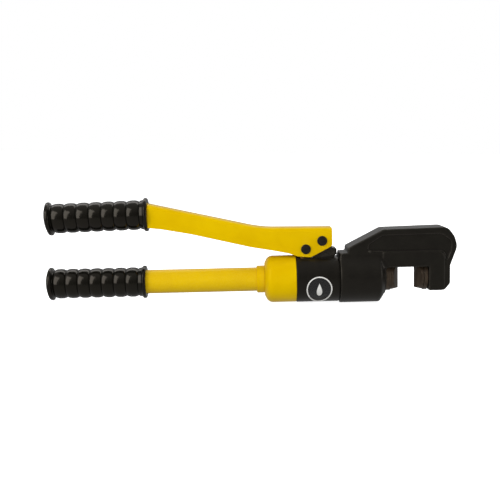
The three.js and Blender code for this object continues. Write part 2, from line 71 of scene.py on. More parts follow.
MM = 0.001
TUBE_LOW, TUBE_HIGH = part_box("reservoir_tube")
HEAD_REAR_X = -1.4  # mm, where the cutting head starts behind its joint with the body
ORIGIN = np.array([
    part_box("cutter_head")[0].x - HEAD_REAR_X * MM,
    (TUBE_LOW.y + TUBE_HIGH.y) / 2,
    (TUBE_LOW.z + TUBE_HIGH.z) / 2,
])


def span(node):
    """Lowest and highest corner of a CAD node, in millimetres in the tool's frame."""
    low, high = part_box(node)
    return (np.array(low) - ORIGIN) / MM, (np.array(high) - ORIGIN) / MM


# ---- driving dimensions, mm ---------------------------------------------------------------
BODY_HIGH = span("pump_body")[1]
COLLAR_HIGH = span("body_collar")[1]
HEAD_LOW, HEAD_HIGH = span("cutter_head")
PLAY = 0.3  # between neighbours, and round a pin, nose or screw in its hole
BODY_R = BODY_HIGH[1]
COLLAR_R = COLLAR_HIGH[1]
CYLINDER_R = -HEAD_LOW[2]
BODY_REAR_X = COLLAR_HIGH[0] + PLAY
BODY_FLAT_Z = 26.0
BODY_FRONT_X = -2.0
FLAT_X = (-52.2, BODY_FRONT_X)
NOSE_R = 26.2
NOSE_X = BODY_HIGH[0]
BORE_R = 22.0
BORE_FRONT_X = 43
BUSH_R = 18.5
ROD_R = 15
ROD_FRONT_X = 54.6
PISTON_R = 21.7
PISTON_GROOVE_R = 19.2
RIM_HALF = 19.0
WEB_HALF = 17.0
BLOCK_HALF = 20.0
BOSS_R = 21.2
BOSS_X = 54.7
THROAT_ROOF_Z = 13.3
LEG_X = 106.4
LEG_BOTTOM_Z = -16.0
CHANNEL_R = 18.2
HOLDER_R = 17.3
BLADE_ROOT_R = 16.3
BLADE_TIP_R = 14.3
BLADE_SPIGOT_R = 8
BLADE_SCREW_R = 3
BLADE_SCREW_HEAD_R = 4.6
MOVING_ROOT_X, MOVING_TIP_X = 61.4, 71.8
FIXED_ROOT_X, FIXED_TIP_X = 101.3, 91.8
EAR_HALF = 10.8
EAR_REAR_X = -32
EAR_FOOT_Z = 24.5
FULCRUM = (-22.1, 47.2)
DRIVE = (-42.0, 37.4)
PIN_R = 4.0
VALVE_HOLE_R = 4.3
PLUNGER_X = -43.1
PLUNGER_R = 6
GLAND_R = 9.2
RELEASE = (-23.5, 7.0)
RELIEF = (-23.5, -14.0)
LEVER_HALF = 14.0
LEVER_WALL = 2.8
LEVER_BEND = 5.5
LABEL_X = -27.3
LABEL_R = 15.6
LABEL_LOW = 13.5  # below the ram's axis, as seen from the -Y side
LABEL_TILT = math.radians(7)  # the label is round when seen from this far above


# ---- outlines -----------------------------------------------------------------------------
def eased(corners, steps=6):
    """A closed outline through (u, v, radius) corners, each rounded by an arc of its radius."""
    points = []
    count = len(corners)
    for i, (u, v, *radius) in enumerate(corners):
        here = Vector((u, v))
        if not radius:
            points.append(tuple(here))
            continue
        into = (here - Vector(corners[i - 1][:2])).normalized()
        out = (Vector(corners[(i + 1) % count][:2]) - here).normalized()
        turn = into.angle_signed(out)
        reach = radius[0] * math.tan(abs(turn) / 2)
        start = here - into * reach
        side = Vector((-into.y, into.x)) * math.copysign(radius[0], -turn)
        centre = start + side
        for k in range(steps + 1):
            angle = -turn * k / steps
            spoke = start - centre
            points.append((
                centre.x + spoke.x * math.cos(angle) - spoke.y * math.sin(angle),
                centre.y + spoke.x * math.sin(angle) + spoke.y * math.cos(angle),
            ))
    return points


# ---- meshes -------------------------------------------------------------------------------
SHARP = 32  # degrees


def mesh_of(name, shape):
    """A mesh from (points in mm, faces), with its faces turned outwards."""
    points, faces = shape
    mesh = bpy.data.meshes.new(name)
    mesh.from_pydata((ORIGIN + np.asarray(points, float) * MM).tolist(), [], faces)
    work = bmesh.new()
    work.from_mesh(mesh)
    bmesh.ops.recalc_face_normals(work, faces=work.faces)
    work.to_mesh(mesh)
    work.free()
    return mesh


def piece(name, shape, material, body, replaced, sharp=SHARP):
    """A named object that rides on a CAD body and replaces CAD nodes; edges over sharp degrees are crisp."""
    mesh = mesh_of(name, shape)
    mesh.shade_smooth()
    mesh.set_sharp_from_angle(angle=math.radians(sharp))
    mesh.materials.append(material)
    obj = bpy.data.objects.new(name, mesh)
    bpy.context.scene.collection.objects.link(obj)
    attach(obj, body)
    if replaced:
        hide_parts(*replaced)
    return obj


def turned(outline, sides=96, axis="x", centre=(0, 0), wave=None):
    """A closed outline of (along, radius) points turned about an axis.

    centre is the axis's other two coordinates, and wave(angle, radius) may change the radius.
    """
    points, faces, rings = [], [], []
    angles = [2 * math.pi * i / sides for i in range(sides)]
    for along, radius in outline:
        first = len(points)
        if radius < 1e-6:
            points.append((along, 0, 0))
            rings.append([first] * sides)
            continue
        for angle in angles:
            r = wave(angle, radius) if wave else radius
            points.append((along, r * math.cos(angle), r * math.sin(angle)))
        rings.append(list(range(first, first + sides)))
    for ring, following in zip(rings, rings[1:] + rings[:1]):
        for i in range(sides):
            corners = [ring[i], ring[i - 1], following[i - 1], following[i]]
            face = list(dict.fromkeys(corners))
            if len(face) > 2:
                faces.append(face)
    p = np.array(points)
    if axis == "x":
        p = p + [0, centre[0], centre[1]]
    elif axis == "y":
        p = p[:, [1, 0, 2]] + [centre[0], 0, centre[1]]
    else:
        p = p[:, [1, 2, 0]] + [centre[0], centre[1], 0]
    return p, faces


def prism(outline, low, high):
    """An outline in X and Z carried from low to high along Y."""
    count = len(outline)
    points = [(x, y, z) for y in (low, high) for x, z in outline]
    faces = [list(range(count)), list(range(2 * count - 1, count - 1, -1))]
    faces += [[i, (i + 1) % count, count + (i + 1) % count, count + i] for i in range(count)]
    return np.array(points), faces


def soften(obj, width, segments=3, angle=38):
    """A bevel on the piece's sharp edges, in millimetres."""
    bevel = obj.modifiers.new("edges", "BEVEL")
    bevel.width = width * MM
    bevel.segments = segments
    bevel.limit_method = "ANGLE"
    bevel.angle_limit = math.radians(angle)
    bevel.harden_normals = True


def baked(obj):
    """Applies a piece's modifiers to its mesh."""
    graph = bpy.context.evaluated_depsgraph_get()
    mesh = bpy.data.meshes.new_from_object(obj.evaluated_get(graph))
    obj.modifiers.clear()
    obj.data = mesh


def bored(obj, *cutters):
    """Takes each (points, faces) cutter out of a piece."""
    for shape in cutters:
        mesh = mesh_of("cutter", shape)
        tool = bpy.data.objects.new("cutter", mesh)
        bpy.context.scene.collection.objects.link(tool)
        cut = obj.modifiers.new("cut", "BOOLEAN")
        cut.operation = "DIFFERENCE"
        cut.solver = "EXACT"
        cut.object = tool
        baked(obj)
        bpy.data.objects.remove(tool)
        bpy.data.meshes.remove(mesh)
    obj.data.shade_smooth()
    obj.data.set_sharp_from_angle(angle=math.radians(SHARP))
    return obj


def rod(low, high, radius, axis="x", centre=(0, 0), sides=64, ease=0.0):
    """A round bar with eased edges."""
    corners = [(low, 0.0), (high, 0.0), (high, radius, ease), (low, radius, ease)]
    if not ease:
        corners = [c[:2] for c in corners]
    return turned(eased(corners, 4), sides, axis, centre)


# ---- solids from distance fields ----------------------------------------------------------
def outline_field(u, v, outline):
    """Signed distance to a closed outline, negative inside."""
    u, v = np.broadcast_arrays(u, v)
    nearest = np.full(u.shape, np.inf)
    inside = np.zeros(u.shape, bool)
    for (au, av), (bu, bv) in zip(outline, outline[1:] + outline[:1]):
        eu, ev = bu - au, bv - av
        length = eu * eu + ev * ev
        if length < 1e-12:
            continue
        t = np.clip(((u - au) * eu + (v - av) * ev) / length, 0, 1)
        nearest = np.minimum(nearest, np.hypot(u - au - t * eu, v - av - t * ev))
        if ev:
            inside ^= ((av > v) != (bv > v)) & (u < eu * (v - av) / ev + au)
    return np.where(inside, -nearest, nearest)


def joined(a, b, blend):
    """Union of two fields with a fillet about as wide as blend."""
    h = np.clip(0.5 + 0.5 * (b - a) / blend, 0, 1)
    return b * (1 - h) + a * h - blend * h * (1 - h)


def without(a, b, blend=0.4):
    """Field a with field b taken out."""
    return -joined(-a, b, blend)


def slab(field, across, edge):
    """A flat field given thickness: across is the distance outside its faces, edge its edge radius."""
    a, b = field + edge, across + edge
    outside = np.hypot(np.maximum(a, 0), np.maximum(b, 0))
    return np.minimum(np.maximum(a, b), 0) + outside - edge


def surface_net(field, low, step):
    """Points and quads on a sampled field's zero level."""
    inside = field < 0
    cells = tuple(n - 1 for n in field.shape)
    total = np.zeros(cells + (3,))
    count = np.zeros(cells)
    for axis in range(3):
        u, v = (axis + 1) % 3, (axis + 2) % 3
        for a in (0, 1):
            for b in (0, 1):
                corner = [0, 0, 0]
                corner[u], corner[v] = a, b
                beyond = list(corner)
                beyond[axis] = 1
                near = tuple(slice(c, c + n) for c, n in zip(corner, cells))
                far = tuple(slice(c, c + n) for c, n in zip(beyond, cells))
                crossed = inside[near] != inside[far]
                f0, f1 = field[near][crossed], field[far][crossed]
                place = np.tile(np.array(corner, float), (len(f0), 1))
                place[:, axis] = f0 / (f0 - f1)
                total[crossed] += place
                count[crossed] += 1
    used = count > 0
    index = np.full(cells, -1)
    index[used] = np.arange(used.sum())
    points = low + step * (np.argwhere(used) + total[used] / count[used][:, None])
    faces = []
    for axis in range(3):
        u, v = (axis + 1) % 3, (axis + 2) % 3
        here = [slice(1, n) for n in cells]
        here[axis] = slice(0, cells[axis])
        ahead = list(here)
        ahead[axis] = slice(1, cells[axis] + 1)
        start, end = inside[tuple(here)], inside[tuple(ahead)]
        p = np.argwhere(start != end) + [0 if i == axis else 1 for i in range(3)]
        rising = start[start != end]
        shift_u, shift_v = np.eye(3, dtype=int)[u], np.eye(3, dtype=int)[v]
        ring = np.stack(
            [index[tuple((p - s).T)] for s in (shift_u + shift_v, shift_v, 0 * shift_u, shift_u)], 1
        )
        ring[~rising] = ring[~rising][:, ::-1]
        faces += ring.tolist()
    return points, faces


# ---- materials ----------------------------------------------------------------------------
FLAT = 0.5  # Pointiness of a flat surface
PATCH = 1.5  # mm, size of the patches of painted edge highlight


def srgb(r, g, b):
    """A colour given as 0 to 255 display values, made linear."""
    values = [c / 255 for c in (r, g, b)]
    return [c / 12.92 if c <= 0.04045 else ((c + 0.055) / 1.055) ** 2.4 for c in values] + [1.0]


def noise(tree, size, detail, along=(1, 1, 1), distortion=0.0):
    """Noise with a grain of size mm, stretched along each axis."""
    mapping = tree.nodes.new("ShaderNodeMapping")
    mapping.inputs["Scale"].default_value = [1 / (size * MM * s) for s in along]
    tree.links.new(tree.nodes.new("ShaderNodeTexCoord").outputs["Object"], mapping.inputs["Vector"])
    texture = tree.nodes.new("ShaderNodeTexNoise")
    texture.inputs["Scale"].default_value = 1
    texture.inputs["Detail"].default_value = detail
    texture.inputs["Distortion"].default_value = distortion
    tree.links.new(mapping.outputs["Vector"], texture.inputs["Vector"])
    return texture.outputs["Fac"]


def ranged(tree, value, from_low, from_high, to_low, to_high):
    """A value rescaled from one range to another and kept inside it."""
    node = tree.nodes.new("ShaderNodeMapRange")
    for socket, number in zip(node.inputs[1:5], (from_low, from_high, to_low, to_high)):
        socket.default_value = number
    tree.links.new(value, node.inputs[0])
    return node.outputs[0]


def mixed(tree, factor, first, second):
    """Two colours, each a socket or four numbers, mixed by a factor."""
    node = tree.nodes.new("ShaderNodeMix")
    node.data_type = "RGBA"
    tree.links.new(factor, node.inputs["Factor"])
    for socket, value in ((node.inputs[6], first), (node.inputs[7], second)):
        if isinstance(value, bpy.types.NodeSocket):
            tree.links.new(value, socket)
        else:
            socket.default_value = value
    return node.outputs[2]


# Painted highlight: convex edges are lightened towards a paler colour, in patches.
def painted_edge_highlight(tree, colour, highlight_colour, share, sharpness):
    """The colour lightened in patches on convex edges, a painted edge highlight; edges of that sharpness get
    all of the share.
    """
    pointed = tree.nodes.new("ShaderNodeNewGeometry").outputs["Pointiness"]
    patchy = tree.nodes.new("ShaderNodeMath")
    patchy.operation = "MULTIPLY"
    edge = ranged(tree, pointed, FLAT + sharpness / 4, FLAT + sharpness, 0, share)
    patches = ranged(tree, noise(tree, PATCH, 4), 0.4, 0.6, 0.2, 1)
    tree.links.new(edge, patchy.inputs[0])
    tree.links.new(patches, patchy.inputs[1])
    return mixed(tree, patchy.outputs[0], colour, highlight_colour)


def finish(name, dark, light, roughness, mottle, grain, stretch=(1, 1, 1), edge_highlight=None, **sockets):
    """A Principled material.

    dark and light are mixed by noise of mottle mm, and roughness is (low, high). grain is the
    bump's (size, height) in mm, stretched along each axis. edge_highlight is painted_edge_highlight's last
    three values: the paler colour painted on convex edges as a highlight, its share and the sharpness that
    gets all of it.
    """
    material = bpy.data.materials.new(name)
    material.use_nodes = True
    tree = material.node_tree
    shader = tree.nodes["Principled BSDF"]
    for socket, value in sockets.items():
        shader.inputs[socket.replace("_", " ")].default_value = value
    cloud = noise(tree, mottle, 4, stretch, 0.3)
    colour = mixed(tree, ranged(tree, cloud, 0.35, 0.65, 0, 1), dark, light)
    # painted highlight on convex edges
    if edge_highlight:
        colour = painted_edge_highlight(tree, colour, *edge_highlight)
    fine = noise(tree, grain[0], 3, stretch)
    tree.links.new(colour, shader.inputs["Base Color"])
    tree.links.new(ranged(tree, fine, 0.3, 0.7, *roughness), shader.inputs["Roughness"])
    bump = tree.nodes.new("ShaderNodeBump")
    bump.inputs["Distance"].default_value = grain[1] * MM
    bump.inputs["Strength"].default_value = 1
    tree.links.new(fine, bump.inputs["Height"])
    tree.links.new(bump.outputs["Normal"], shader.inputs["Normal"])
    return material


WARM = (1, 0.9, 0.76, 1)  # tint of the sheen on the black pieces
# The paler colour given to a finish's convex edges is a painted edge highlight.
YELLOW = finish(
    "yellow_powder_coat", srgb(229, 186, 0), srgb(236, 195, 0), (0.28, 0.38), 30, (1.6, 0.004),
    edge_highlight=(srgb(240, 205, 60), 0.3, 0.1), Specular_IOR_Level=0.3, Specular_Tint=(1, 0.8, 0.05, 1),
)
FORGED = finish(
    "black_forging", srgb(14, 13, 11), srgb(19, 18, 15), (0.34, 0.46), 14, (1.2, 0.04),
    edge_highlight=(srgb(76, 72, 66), 0.7, 0.05), Specular_IOR_Level=0.35, Specular_Tint=WARM,
)
OXIDE = finish(
    "black_oxide", srgb(13, 12, 10), srgb(18, 16, 13), (0.28, 0.4), 22, (0.5, 0.005), stretch=(0.3, 2, 2),
    edge_highlight=(srgb(62, 58, 52), 0.4, 0.1), Specular_IOR_Level=0.35, Specular_Tint=WARM,
)
VINYL = finish(
    "grip_vinyl", srgb(13, 12, 9), srgb(17, 16, 12), (0.12, 0.22), 18, (2.4, 0.015),
    Specular_IOR_Level=0.35, Specular_Tint=WARM,
)
TEMPERED = finish(
    "tempered_blade_steel", srgb(60, 49, 38), srgb(84, 70, 55), (0.34, 0.5), 5, (0.35, 0.015),
    stretch=(0.7, 0.7, 22), Metallic=0.5,
)
# The paler edge colour here is a painted edge highlight too.
PIN = finish(
    "blued_pin_steel", srgb(34, 32, 28), srgb(46, 43, 36), (0.3, 0.45), 4, (0.4, 0.01),
    edge_highlight=(srgb(110, 105, 95), 0.4, 0.1), Metallic=0.6,
)
BRIGHT = finish(
    "ground_bright_steel", srgb(176, 178, 180), srgb(196, 197, 198), (0.14, 0.26), 20, (0.25, 0.004),
    stretch=(0.3, 4, 4), Metallic=1.0,
)
SPRING = finish(
    "spring_steel", srgb(130, 132, 136), srgb(158, 160, 164), (0.25, 0.4), 6, (0.3, 0.006), Metallic=1.0,
)
BRONZE = finish(
    "turned_bronze", srgb(150, 112, 52), srgb(178, 138, 70), (0.25, 0.42), 8, (0.3, 0.006),
    stretch=(0.4, 3, 3), Metallic=1.0,
)
RUBBER = finish(
    "seal_rubber", srgb(19, 19, 18), srgb(27, 27, 26), (0.5, 0.7), 6, (0.5, 0.01),
)
WHITE = finish(
    "white_film", srgb(226, 224, 218), srgb(240, 239, 235), (0.3, 0.42), 6, (0.8, 0.004),
)
FILM = finish(
    "black_film", srgb(26, 25, 25), srgb(31, 30, 30), (0.25, 0.34), 8, (0.8, 0.004),
)


# ---- cutting head -------------------------------------------------------------------------
def head_outlines():
    """The rim, the pocket in each side and the proud block round the throat, in X and Z."""
    rim = eased([
        (-0.8, 12), (-0.8, 31.8, 1), (8.3, 32.1, 1.5), (8.3, 38.1, 3), (51.3, 59.7, 6),
        (129.4, 61.1, 12), (138.1, 49, 18), (141.2, 37, 14), (132.5, 14, 9), (132.5, -7.8, 3.5),
        (125.8, LEG_BOTTOM_Z, 4), (LEG_X, LEG_BOTTOM_Z, 1.2),
        (LEG_X, THROAT_ROOF_Z), (40, THROAT_ROOF_Z),
    ])
    pocket = eased([
        (33.2, 34.4, 1.5), (33.2, 41.5, 6), (50.3, 52.1, 8), (122, 53, 12), (134.2, 44, 9),
        (132.8, 31, 10), (127.2, 18, 1), (127.2, 33.6, 9), (50.3, 33.8),
    ])
    block = eased([
        (50.5, THROAT_ROOF_Z), (50.5, 32.9, 2), (125.4, 32.5, 8.5), (125.4, LEG_BOTTOM_Z, 4),
        (LEG_X, LEG_BOTTOM_Z, 1.2), (LEG_X, THROAT_ROOF_Z),
    ])
    return rim, pocket, block


def head_bored(solid, x, y, z):
    """The head with the throat's channel, the ram's bore and its other round holes taken out."""
    radius = np.hypot(y, z)
    behind = -5
    for from_x, to_x, bore_radius in (
        (BOSS_X, LEG_X, CHANNEL_R),
        (behind, NOSE_X + PLAY, NOSE_R + PLAY),
        (behind, BORE_FRONT_X, BORE_R),
        (BORE_FRONT_X - 1, 60, BUSH_R),
        (LEG_X - 2, LEG_X + 12, BLADE_SPIGOT_R),
        (LEG_X, LEG_X + 40, BLADE_SCREW_R),
        (LEG_X + 17, LEG_X + 40, BLADE_SCREW_HEAD_R),
    ):
        solid = without(solid, np.maximum(radius - bore_radius, np.maximum(from_x - x, x - to_x)))
    lock_x, lock_r, lock_y = 5, 2.4, 25
    lock = np.maximum(np.hypot(x - lock_x, z) - lock_r, lock_y - y)
    return without(solid, lock)


def head_shape(step=0.7):
    """The forged C frame, its cylinder, its dot and its bores."""
    pad = 1.6
    low = HEAD_LOW - pad
    counts = [int((high - lo + 2 * pad) / step) + 2 for lo, high in zip(HEAD_LOW, HEAD_HIGH)]
    x, y, z = np.ix_(*(low[i] + step * np.arange(counts[i]) for i in range(3)))
    rim, pocket, block = (outline_field(x, z, outline) for outline in head_outlines())
    thick = np.abs(y)
    solid = slab(rim, thick - RIM_HALF, 1.9)
    solid = without(solid, np.maximum(pocket, WEB_HALF - thick), 0.9)
    solid = joined(solid, slab(block, thick - BLOCK_HALF, 1.3), 0.4)
    cylinder = eased([
        (HEAD_REAR_X, -1), (HEAD_REAR_X, CYLINDER_R, 1.4), (47.4, CYLINDER_R, 4), (52.9, 22.8, 1.5),
        (52.9, BOSS_R), (BOSS_X, BOSS_R), (BOSS_X, -1),
    ])
    solid = joined(solid, outline_field(x, np.hypot(y, z), cylinder), 5.0)
    dot = np.sqrt((x - 34.8) ** 2 + (y + 18.6) ** 2 + (z - 33.1) ** 2) - 2.0
    solid = joined(solid, dot, 0.6)
    return surface_net(head_bored(solid, x, y, z), low, step)


head = piece("cutter_head_forging", head_shape(), FORGED, "frame", ["cutter_head"], 60)
smooth = head.modifiers.new("forged", "SMOOTH")
smooth.factor = 0.5
smooth.iterations = 2

BUSH_LOW, BUSH_HIGH = span("guide_bush")
piece(
    "guide_bush_ring",
    turned(eased([
        (BUSH_LOW[0], ROD_R + PLAY), (49.6, ROD_R + PLAY), (49.6, 16.9), (BUSH_HIGH[0], 16.9, 0.2),
        (BUSH_HIGH[0], BUSH_R - PLAY, 0.3), (BUSH_LOW[0], BUSH_R - PLAY),
    ], 3)),
    BRONZE, "frame", ["guide_bush"],
)
piece(
    "rod_wiper_lip",
    turned(eased([
        (49.9, ROD_R + PLAY), (52.8, ROD_R + PLAY), (53.6, 15.25, 0.2), (53.6, 16.6, 0.3), (49.9, 16.6),
    ], 3)),
    RUBBER, "frame", ["rod_wiper"],
)


# ---- blades -------------------------------------------------------------------------------
def blade_shape(root_x, tip_x):
    """A round blank whose two flats meet at a narrow upright edge; the tip may point either way along X."""
    facing = math.copysign(1, tip_x - root_x)
    rim_depth, land = 2, 1.0
    points, faces = turned(eased([
        (root_x, 0), (tip_x, 0), (tip_x, BLADE_TIP_R, 0.3),
        (root_x + rim_depth * facing, BLADE_ROOT_R - 0.1), (root_x, BLADE_ROOT_R, 0.4),
    ], 4), 160)
    work = bmesh.new()
    made = [work.verts.new(p) for p in points]
    for face in faces:
        work.faces.new([made[i] for i in face])
    depth = abs(tip_x - root_x) - rim_depth
    for side in (-1, 1):
        normal = Vector((facing * (BLADE_ROOT_R + 1 - land), side * depth, 0)).normalized()
        cut = bmesh.ops.bisect_plane(
            work, geom=work.verts[:] + work.edges[:] + work.faces[:], dist=1e-5,
            plane_co=(tip_x, side * land, 0), plane_no=normal, clear_outer=True,
        )
        rim = [e for e in cut["geom_cut"] if isinstance(e, bmesh.types.BMEdge)]
        bmesh.ops.contextual_create(work, geom=rim)
    work.verts.index_update()
    points = np.array([v.co for v in work.verts])
    faces = [[v.index for v in f.verts] for f in work.faces]
    work.free()
    return points, faces


for label, body, root_x, tip_x, seat in (
    ("moving_blade", "ram", MOVING_ROOT_X, MOVING_TIP_X, (55, 61.2)),
    ("fixed_blade", "frame", FIXED_ROOT_X, FIXED_TIP_X, (101.5, 106.2)),
):
    blade = piece(f"{label}_ground", blade_shape(root_x, tip_x), TEMPERED, body, [label])
    soften(blade, 0.15, 2)
    seat_shape = rod(*seat, HOLDER_R, sides=128, ease=0.5)
    piece(f"{label}_seat", seat_shape, TEMPERED, body, [f"{label}_holder"])

SCREW_LOW, SCREW_HIGH = span("fixed_blade_screw")
screw_rear, screw_front = SCREW_LOW[0], SCREW_HIGH[0]
bored(
    piece(
        "fixed_blade_cap_screw",
        turned(eased([
            (screw_rear, 0), (screw_rear, 2.5), (LEG_X + 17.3, 2.5), (LEG_X + 17.3, 4.2),
            (screw_front, 4.2, 0.5), (screw_front, 0),
        ], 3), 48),
        PIN, "frame", ["fixed_blade_screw"],
    ),
    turned([(screw_front - 3, 0), (screw_front - 3, 2.3), (screw_front + 1, 2.3), (screw_front + 1, 0)], 6),
)

# ---- ram ----------------------------------------------------------------------------------
piece(
    "ram_rod",
    turned(eased([
        (-15, 0), (-15, PISTON_R, 0.4), (-12.6, PISTON_R), (-12.6, PISTON_GROOVE_R),
        (-7, PISTON_GROOVE_R), (-7, PISTON_R), (-4, PISTON_R, 0.4),
        (-4, ROD_R), (ROD_FRONT_X, ROD_R, 0.8), (ROD_FRONT_X, 0),
    ], 4), 128),
    BRIGHT, "ram", ["ram_piston"],
)


# ---- pump body ----------------------------------------------------------------------------
STEP = 0.01  # between the two rings that make each end of the flat a sharp step


def body_shape():
    """The turned body, milled flat on top."""
    outline = eased([
        (BODY_REAR_X, 22), (BODY_REAR_X, BODY_R, 0.9), (BODY_FRONT_X, BODY_R, 1.6), (BODY_FRONT_X, NOSE_R),
        (6.5, NOSE_R), (6.5, 24.4), (9.5, 24.4), (9.5, NOSE_R), (NOSE_X, NOSE_R), (NOSE_X, 0),
        (-84, 0), (-84, 6.5), (-68, 6.5), (-68, 22),
    ], 4)
    stretch = []
    for (a, radius), (b, _) in zip(outline, outline[1:] + outline[:1]):
        stretch.append((a, radius))
        for edge in sorted(FLAT_X, reverse=b < a):
            if min(a, b) < edge < max(a, b) and radius > BODY_FLAT_Z:
                stretch += [(edge - STEP if b > a else edge + STEP, radius), (edge, radius)]
                if edge == FLAT_X[1]:
                    stretch[-2:] = [(edge, radius), (edge + STEP, radius)]
    points, faces = turned(stretch, 180)
    on_flat = (points[:, 0] >= FLAT_X[0] - 1e-6) & (points[:, 0] <= FLAT_X[1] + 1e-6)
    points[on_flat, 2] = np.minimum(points[on_flat, 2], BODY_FLAT_Z)
    return points, faces


body = bored(
    piece("pump_body_turning", body_shape(), OXIDE, "frame", ["pump_body"]),
    turned([(-16, 0), (-16, BORE_R), (NOSE_X + 2, BORE_R), (NOSE_X + 2, 0)], 96),
    rod(9, 40, GLAND_R + PLAY, "z", (PLUNGER_X, 0)),
    rod(-40, -14, VALVE_HOLE_R, "z", (PLUNGER_X, 0)),
    rod(8, 40, VALVE_HOLE_R, "y", RELIEF),
    rod(8, 40, VALVE_HOLE_R, "y", RELEASE),
)
soften(body, 0.35, 2, 50)

ear_x, ear_z = FULCRUM
soften(bored(
    piece(
        "lever_ear_milled",
        prism(eased([
            (EAR_REAR_X, EAR_FOOT_Z), (EAR_REAR_X, ear_z + 2, 4), (ear_x - 6.5, ear_z + 10.4, 5),
            (ear_x + 5.5, ear_z + 10.4, 6), (ear_x + 10.6, ear_z + 1, 6), (-10.5, 38.1, 2),
            (-4.4, 37.2, 1), (-4.4, 31, 0.8), (-7, 28, 0.8), (-7, EAR_FOOT_Z),
        ]), -EAR_HALF, EAR_HALF),
        OXIDE, "frame", ["lever_ear"],
    ),
    rod(-15, 15, PIN_R + PLAY, "y", FULCRUM),
), 0.8)


# ---- label --------------------------------------------------------------------------------
def on_body(rings, lift, thick):
    """A closed skin on the body.

    The rings are (along, down) millimetres about the label's centre, and keep their shape when
    seen from LABEL_TILT above the -Y side.
    """
    points, faces = [], []
    for level in (lift + thick, lift):
        for ring in rings:
            for along, down in ring:
                angle = math.asin((LABEL_LOW + down) / (BODY_R + lift)) - LABEL_TILT
                r = BODY_R + level
                points.append((LABEL_X + along, -r * math.cos(angle), -r * math.sin(angle)))
    count, sides = len(rings), len(rings[0])

    def at(level, ring, i):
        return (level * count + ring) * sides + i % sides

    for ring in range(count - 1):
        for i in range(sides):
            for level in (0, 1):
                faces.append([at(level, ring + a, i + b) for a, b in ((0, 0), (0, 1), (1, 1), (1, 0))])
    for ring in (0, count - 1):
        for i in range(sides):
            faces.append([at(0, ring, i), at(0, ring, i + 1), at(1, ring, i + 1), at(1, ring, i)])
    return np.array(points), faces


def circle(radius, sides=96):
    """A ring of points about the label's centre."""
    return [
        (radius * math.cos(2 * math.pi * i / sides), radius * math.sin(2 * math.pi * i / sides))
        for i in range(sides)
    ]


def drop(size, sides=96):
    """A plain oil drop about its centre, pointing up."""
    outline = []
    for i in range(sides):
        t = 2 * math.pi * i / sides
        outline.append((0.62 * size * math.sin(t) * math.sin(t / 2) ** 1.4, -size * math.cos(t)))
    return outline


RING_WIDTH = 1.5
FILM_LIFT, FILM_THICK = 0.02, 0.18
INK_LIFT, INK_THICK = 0.2, 0.12
INK_EDGE_R = LABEL_R - 0.05
film = on_body([circle(r) for r in (0.05, 5, 10, LABEL_R)], FILM_LIFT, FILM_THICK)
ring = on_body([circle(r) for r in (LABEL_R - RING_WIDTH, INK_EDGE_R)], INK_LIFT, INK_THICK)
mark = drop(7.5)
drop_rings = [[(along * share, down * share) for along, down in mark] for share in (0.02, 0.4, 0.7, 1)]
piece("label_film", film, FILM, "frame", ["label_badge"])
piece("label_ring", ring, WHITE, "frame", [])
piece("label_drop", on_body(drop_rings, INK_LIFT, INK_THICK), WHITE, "frame", [])

# ---- pump plunger and valves --------------------------------------------------------------
slot_x, slot_z = PIN_R + 1.5, PIN_R + 0.4
eye_half, eye_foot_z, eye_top_z = 8.6, 28.6, DRIVE[1] + 8.4
eye = piece(
    "plunger_eye",
    prism(eased([
        (PLUNGER_X - eye_half, eye_foot_z, 0.6), (PLUNGER_X - eye_half, eye_top_z, 6),
        (PLUNGER_X + eye_half, eye_top_z, 6), (PLUNGER_X + eye_half, eye_foot_z, 0.6),
    ]), -9, 9),
    BRIGHT, "plunger", ["pump_plunger"],
)
bored(eye, prism(eased([
    (PLUNGER_X - slot_x, DRIVE[1] - slot_z, 3.5), (PLUNGER_X - slot_x, DRIVE[1] + slot_z, 3.5),
    (PLUNGER_X + slot_x, DRIVE[1] + slot_z, 3.5), (PLUNGER_X + slot_x, DRIVE[1] - slot_z, 3.5),
]), -12, 12))
soften(eye, 0.5)
plunger = rod(-14, 29.5, PLUNGER_R, "z", (PLUNGER_X, 0), ease=0.4)
piece("plunger_rod", plunger, BRIGHT, "plunger", [])
piece(
    "gland_nut",
    turned(eased([
        (12, PLUNGER_R + PLAY), (26.6, PLUNGER_R + PLAY), (27, 6.7), (27, GLAND_R, 0.7), (12, GLAND_R),
    ], 3), 60, "z", (PLUNGER_X, 0)),
    BRONZE, "frame", ["plunger_gland"],
)


def knurl(angle, radius):
    """The knob's radius with twenty finger flutes in its rim."""
    flutes, depth, hub_r = 20, 0.75, 7
    return radius - (depth if radius > hub_r else 0) * abs(math.sin(flutes / 2 * angle)) ** 3


KNOB_LOW, KNOB_HIGH = span("release_knob")
knob_low, knob_high = KNOB_LOW[1], KNOB_HIGH[1]
piece(
    "release_knob_fluted",
    turned(eased([
        (knob_low, 3.3), (knob_high - 1.5, 3.3), (knob_high - 1.2, 4.6), (knob_high, 4.9, 0.3),
        (knob_high, 8.5, 1.1), (knob_low, 8.5, 0.8),
    ], 4), 160, "y", RELEASE, knurl),
    OXIDE, "release_valve", ["release_knob"],
)
SPINDLE_LOW, SPINDLE_HIGH = span("release_spindle")
piece(
    "release_spindle_turned",
    turned(eased([
        (SPINDLE_LOW[1], 0), (11.6, 2.2), (11.6, 4), (27.6, 4), (27.6, 3), (SPINDLE_HIGH[1], 3, 0.6),
        (SPINDLE_HIGH[1], 0),
    ], 3), 48, "y", RELEASE),
    PIN, "release_valve", ["release_spindle"],
)

